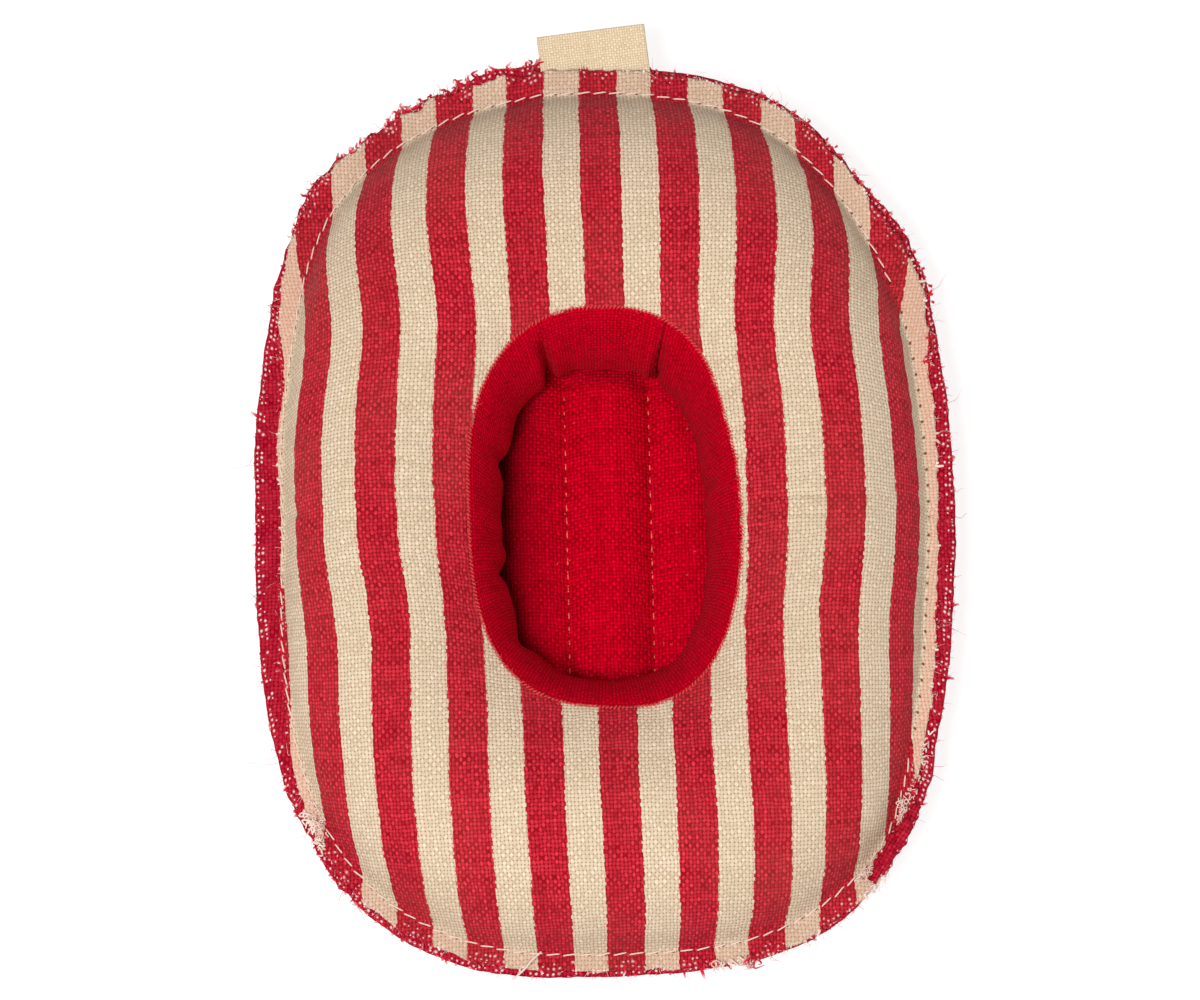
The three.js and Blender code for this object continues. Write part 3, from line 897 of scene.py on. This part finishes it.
def yarn_ends(name, edge, flat, material, pitch, reach_out, radius, curl, seed, keep=1.0):
    """Short yarns that stick out of a raw edge, roughly along the cloth's own threads."""
    rng = np.random.default_rng(seed)
    middle, ahead, at = resample(edge, pitch)
    chosen = rng.uniform(size=len(middle)) < keep
    middle, ahead, at = middle[chosen], ahead[chosen], at[chosen]
    count = len(middle)
    length = line_length(np.vstack([edge, edge[:1]]))
    roots = between(at * length[-1], length, np.vstack([flat, flat[:1]]))
    outward = unit(np.stack([ahead[:, 1], -ahead[:, 0], np.zeros(count)], axis=1))
    grain = np.where(np.abs(outward[:, :1]) > rng.uniform(0.45, 0.85, (count, 1)),
                     np.sign(outward[:, :1]) * (1, 0, 0), np.sign(outward[:, 1:2]) * (0, 1, 0))
    heading = unit(0.5 * outward + 0.7 * grain + rng.normal(0, 0.3, (count, 3)) * (1, 1, 0.5))
    bend = rng.normal(0, curl, (count, 2, 3))
    t = np.linspace(0, 1, 7)[None, :, None]
    far = reach_out * rng.gamma(2.2, 0.45, (count, 1, 1))
    curve = heading[:, None] * t + bend[:, :1] * t**2 + bend[:, 1:] * np.sin(2.6 * math.pi * t) * 0.25
    paths = middle[:, None] - 0.35 * MM * heading[:, None] + far * curve
    paths[..., 2] = np.maximum(paths[..., 2], 1 * MM)
    swell = rng.uniform(0.75, 1.2, (count, 1)) * (1 - 0.45 * t[..., 0] ** 2)
    return tubes(name, paths, radius * swell, 6 if radius > 0.1 * MM else 3, material, roots)


# Middle of each raw edge, the same line in the flat cloth, and its yarn
striped_edge = (top_grid[:, -1] - UP * CLOTH * 0.5, top_flat[:, -1], striped_yarn)
red_edge = (under_grid[:, -1] + UP * CLOTH * 0.5, under_flat[:, -1], red_yarn)
fray = [
    yarn_ends("striped_yarn_ends", *striped_edge, 0.52 * MM, 0.3 * MM, 0.24 * MM, 0.25, 41),
    yarn_ends("red_yarn_ends", *red_edge, 0.52 * MM, 0.3 * MM, 0.25 * MM, 0.25, 42),
    yarn_ends("striped_fuzz", *striped_edge, 0.25 * MM, 0.55 * MM, 0.04 * MM, 0.9, 43, 0.4),
    yarn_ends("red_fuzz", *red_edge, 0.25 * MM, 0.5 * MM, 0.04 * MM, 0.9, 44, 0.4),
]


def tufts(name, places, radius, seed, edge, flat, material):
    """Bunches of loose yarn: the angle of each, its spread, how many yarns, and their length in mm."""
    rng = np.random.default_rng(seed)
    paths, roots = [], []
    t = np.linspace(0, 1, 14)
    for at, spread, count, long in places:
        for _ in range(count):
            row = int((at + rng.normal(0, spread)) / 360 * AROUND) % AROUND
            start = edge[row] + rng.normal(0, 0.3 * MM, 3) * (1, 1, 0.4)
            angle = angles[row] + rng.normal(0, 0.7)
            heading = np.array((math.cos(angle), math.sin(angle), rng.normal(0.15, 0.25)))
            across = np.cross(heading, UP)
            twist, phase = rng.uniform(0.15, 0.45), rng.uniform(0, TURN)
            far = long * MM * rng.uniform(0.5, 1.1)
            curl = across * (twist * np.sin(5 * t + phase) - twist * math.sin(phase))[:, None]
            lift = UP * (twist * np.cos(4 * t + phase) - twist * math.cos(phase))[:, None] * 0.5
            paths.append(start + far * (heading * t[:, None] * 0.8 + curl + lift) - 0.3 * MM * heading)
            roots.append(flat[row])
    radii = np.broadcast_to(radius * (1 - 0.5 * t**3), (len(paths), len(t)))
    return tubes(name, paths, radii, 5, material, roots)


BOW_TUFTS = [(99, 2.0, 16, 1.2), (107, 2.2, 18, 1.4), (116, 1.8, 20, 1.5), (123, 2.5, 14, 1.3),
             (62, 3, 8, 1.0), (54, 4, 9, 1.0), (44, 4, 8, 0.9), (34, 3, 6, 0.9)]
CORNER_TUFTS = [(318, 1.6, 12, 1.2), (323, 1.5, 12, 1.3), (306, 1.2, 10, 1.2), (229, 1.6, 24, 1.4),
                (287.5, 0.8, 30, 1.9), (284.5, 0.6, 12, 1.6), (136, 2, 10, 1.4), (27, 2, 10, 1.2)]
for name, places, radius, seed, raised, (line, flat, yarn) in (
    ("bow_tufts", BOW_TUFTS, 0.21 * MM, 51, 0.3 * MM, red_edge),
    ("corner_tufts", CORNER_TUFTS, 0.15 * MM, 52, 0.4 * MM, striped_edge),
):
    fray.append(tufts(name, places, radius, seed, line + UP * raised, flat, yarn))


def loose_thread(name, points, radius, material):
    """One thread along a smooth curve through a few points, in mm."""
    points = np.array(points) * MM
    t = np.linspace(0, len(points) - 1, 40)
    low = np.clip(t.astype(int), 0, len(points) - 2)
    f = (t - low)[:, None]
    padded = np.vstack([2 * points[0] - points[1], points, 2 * points[-1] - points[-2]])
    a, b, c, d = (padded[low + k] for k in range(4))
    curve = 0.5 * (2 * b + (c - a) * f + (2 * a - 5 * b + 4 * c - d) * f**2
                   + (3 * b - a - 3 * c + d) * f**3)
    return tubes(name, curve[None], np.full((1, 40), radius), 6, material)


tail = loose_thread("thread_tail", [(-9.2, -65.6, 13.6), (-10.6, -66.9, 13.9), (-11.8, -68.3, 13.8),
                                    (-13.4, -69.6, 13.2)], 0.14 * MM, pale_thread)


def curled_scrap(name, path, width, curl, material):
    """A crumpled scrap of seam allowance, rolled up lengthwise: path in mm, curl in degrees."""
    path = np.array(path) * MM
    steps, turns = 60, 21
    t = np.linspace(0, len(path) - 1, steps)
    spine = np.stack([np.interp(t, np.arange(len(path)), path[:, k]) for k in range(3)], axis=1)
    for _ in range(8):
        spine[1:-1] = (spine[:-2] + 2 * spine[1:-1] + spine[2:]) / 4
    beside = np.cross(unit(np.gradient(spine, axis=0)), UP)
    turn = np.linspace(-0.5, 0.5, turns)[None, :] * math.radians(curl)
    along = np.linspace(0, 1, steps)[:, None]
    narrowed = np.sin(math.pi * np.clip(along, 0.06, 0.94)) ** 0.35
    crumple = 1 + 0.16 * np.sin(19 * along + 2.2 * turn) + 0.1 * np.sin(41 * along - 3 * turn + 1)
    radius = width * MM / math.radians(curl) * narrowed * crumple
    across = radius * np.sin(turn)
    lift = radius * (np.cos(turn) - math.cos(turn.max()))
    points = spine[:, None] + beside[:, None] * across[..., None] + UP * lift[..., None]
    flat = np.stack([turn * radius, along * line_length(path)[-1] + 0 * turn], axis=-1)
    clear_of_seam = np.full_like(flat, 9 * MM)
    edge = width * MM * (0.5 - np.abs(turn) / math.radians(curl)) + 0 * along
    maps = [("Cloth", flat), ("Seam", np.stack([flat[..., 1], clear_of_seam[..., 0]], axis=-1)),
            ("Edge", np.stack([edge, edge], axis=-1))]
    piece = grid_piece(name, points, maps, material, closed=False)
    thicken(piece, CLOTH)
    return piece


scrap = curled_scrap("curled_scrap_stern",
                     [(39.4, -55.2, 13.4), (41.0, -52.6, 13.9), (42.6, -49.9, 14.1),
                      (44.6, -46.9, 13.9), (46.2, -43.8, 13.2)], 5.4, 240, underside_red)
fluff_line = polar(angles, seam_reach(angles) + 1.2 * MM, seam_height(angles) + 1.6 * MM)
fluff = tufts("seam_fluff", [(315.5, 1.3, 34, 1.3), (305.5, 0.7, 20, 1.2), (228.5, 0.9, 26, 1.2)],
              0.09 * MM, 53, fluff_line, top_flat[:, -1], pale_thread)


def scattered(name, count, places, size, radius, material, seed):
    """Specks of lint: short curled fibres on the floor of the cockpit. A place is x, y and spread."""
    rng = np.random.default_rng(seed)
    t = np.linspace(-1, 1, 6)
    paths = []
    for _ in range(count):
        x, y, wide = places[rng.integers(len(places))]
        x, y = (np.array((x, y)) + rng.normal(0, wide, 2) * (0.35, 1)) * MM
        turn, long = rng.uniform(0, TURN), size * rng.uniform(0.3, 1)
        heading = np.array((math.cos(turn), math.sin(turn), 0))
        across = np.array((-heading[1], heading[0], 0))
        base = np.array((x, y, floor_height(x, y) + 0.12 * MM))
        paths.append(base + long * (heading * t[:, None] + across * 0.6 * (t**2)[:, None]))
    return tubes(name, paths, np.full((count, 6), radius), 4, material)


lint = scattered("lint", 22, [(14.0, -4, 7), (13.2, -14, 4), (4, -21.5, 3), (9, -20, 3), (-5.6, 0, 8)],
                 0.26 * MM, 0.04 * MM, red_thread, 61)


def rim_fuzz():
    """Fine red and pink fibres that stand up along the seam between the stripes and the collar."""
    rng = np.random.default_rng(71)
    count = 700
    at = rng.uniform(0, TURN, count)
    base = polar(at, rim_reach(at) + rng.normal(0.25, 0.25, count) * MM, rim_height(at) + 0.1 * MM)
    turn = at + rng.normal(0, 1.2, count)
    heading = np.stack([np.cos(turn), np.sin(turn), rng.uniform(0, 0.7, count)], axis=1)
    bend = rng.normal(0, 0.5, (count, 1, 3))
    t = np.linspace(0, 1, 6)[None, :, None]
    long = 0.28 * MM * rng.gamma(3, 0.33, (count, 1, 1))
    paths = base[:, None] + long * (heading[:, None] * t + bend * t**2)
    return tubes("rim_fuzz", paths, np.full((count, 6), 0.04 * MM), 3, rim_thread)


fuzz = rim_fuzz()


# Label ----------------------------------------------------

def label_tape():
    n = Nodes("label_tape")
    weave = plain_weave(n, 0.4 * MM)
    colour = threads_of(n, weave, dye(150, 118, 78), dye(208, 184, 148), dye(238, 219, 192))
    return n.finish(colour, 0.92, fibre_bump(n, weave, 0.08 * MM), 0.05)


joint = next(j for j in frame["joints"] if j["name"] == "label_flex")
pivot = np.array(joint["pos_m"])


def folded_tape():
    """Two layers of tape from the seam out to the fold, as a grid across the tape."""
    layer = LABEL_THICKNESS * 0.9
    run = LABEL_FOLD - LABEL_ROOT
    out_run = np.linspace(0, run - layer, 22)
    bend = np.linspace(-math.pi / 2, math.pi / 2, 9)[1:-1]
    along = np.concatenate([out_run, run - layer + layer * np.cos(bend), out_run[::-1]])
    upper = np.full_like(out_run, layer)
    lift = np.concatenate([-upper, layer * np.sin(bend), upper])
    across = np.linspace(-0.5, 0.5, 40) * LABEL_WIDTH
    a, s = np.meshgrid(along, across)
    h = np.broadcast_to(lift, a.shape)
    sag = 0.25 * MM * np.sin(s / LABEL_WIDTH * 3.0 + 0.4) * smooth(a, 0.4 * run, run)
    x = s * math.cos(LABEL_TILT) - (a - run) * math.sin(LABEL_TILT) + LABEL_MIDDLE
    y = s * math.sin(LABEL_TILT) + (a - run) * math.cos(LABEL_TILT) + LABEL_FOLD
    points = np.stack([x, y, pivot[2] - 0.15 * MM + h + sag], axis=-1)
    return points, np.stack([s, path_length(points)], axis=-1)


tape_points, tape_flat = folded_tape()
label = grid_piece("label", tape_points, [("Cloth", tape_flat)], label_tape(), closed=False)
thicken(label, LABEL_THICKNESS)


# Riding and replacing -------------------------------------

BODY = "float"
fixed = {
    striped_panel: ("striped_cotton", ["top_panel"]),
    underside: ("red_cotton", ["underside_panel"]),
    collar: ("red_cotton", ["collar"]),
    floor_panel: ("red_cotton", ["floor_panel"]),
    ring_fill: ("stuffing", ["ring_stuffing"]),
    floor_fill: ("stuffing", ["floor_wadding"]),
    needle_stitches: ("pale_thread", ["perimeter_needle_thread"]),
    bobbin_stitches: ("pale_thread", ["perimeter_bobbin_thread"]),
    quilting[0]: ("red_thread", ["quilting_thread_left"]),
    quilting[1]: ("red_thread", ["quilting_thread_right"]),
    rim_stitches: ("red_thread", ["rim_seam_thread"]),
    foot_stitches: ("red_thread", ["collar_foot_thread"]),
    join_stitches: ("red_thread", ["collar_joining_thread"]),
    tail: ("pale_thread", []),
    fluff: ("pale_thread", []),
    lint: ("red_thread", []),
    fuzz: ("red_thread", []),
}
for piece in fray + [scrap]:
    slot = "striped_cotton" if piece.data.materials[0] == striped_yarn else "red_cotton"
    fixed[piece] = (slot, [])
for piece, (slot, nodes) in fixed.items():
    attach(piece, BODY)
    if nodes:
        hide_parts(*nodes)
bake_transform(label)
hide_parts("label_anchor", "label_loop")


# Stage, lights and camera ---------------------------------

def stage():
    half, below = 4.0, -0.1 * MM
    corners = [(-half, -half, below), (half, -half, below), (half, half, below), (-half, half, below)]
    ground = mesh_object("studio_floor", corners, [(0, 1, 2, 3)], material=plain_floor())


def area_light(name, place, aim, size, power, colour=(1, 1, 1)):
    data = bpy.data.lights.new(name, "AREA")
    data.shape = "DISK"
    data.size = size
    data.energy = power
    data.color = colour
    lamp = bpy.data.objects.new(name, data)
    lamp.location = place
    lamp.rotation_euler = (Vector(aim) - Vector(place)).to_track_quat("-Z", "Y").to_euler()
    bpy.context.collection.objects.link(lamp)


CAMERA_ELEVATION = math.radians(77)
PICTURE_WIDTH = 180 * MM
LENS, SENSOR = 150.0, 36.0


def camera():
    data = bpy.data.cameras.new("camera")
    data.lens, data.sensor_width = LENS, SENSOR
    distance = PICTURE_WIDTH * LENS / SENSOR
    aim = Vector((-0.6 * MM, 2.7 * MM, SEAM_HEIGHT))
    back = Vector((0, -math.cos(CAMERA_ELEVATION), math.sin(CAMERA_ELEVATION)))
    eye = bpy.data.objects.new("camera", data)
    eye.location = aim + back * distance
    eye.rotation_euler = (-back).to_track_quat("-Z", "Y").to_euler()
    bpy.context.collection.objects.link(eye)
    bpy.context.scene.camera = eye


def world():
    made = bpy.data.worlds.new("studio")
    bpy.context.scene.world = made
    made.use_nodes = True
    background = made.node_tree.nodes["Background"]
    background.inputs["Color"].default_value = (1, 1, 1, 1)
    background.inputs["Strength"].default_value = 0.43


stage()
area_light("key", (-0.24, -0.28, 0.86), (0, 0, 0.01), 0.3, 7.0, (1, 0.985, 0.96))
area_light("fill", (0.5, -0.3, 0.6), (0, 0, 0.01), 0.8, 1.3)
camera()
world()
bpy.context.scene.view_settings.view_transform = "Standard"
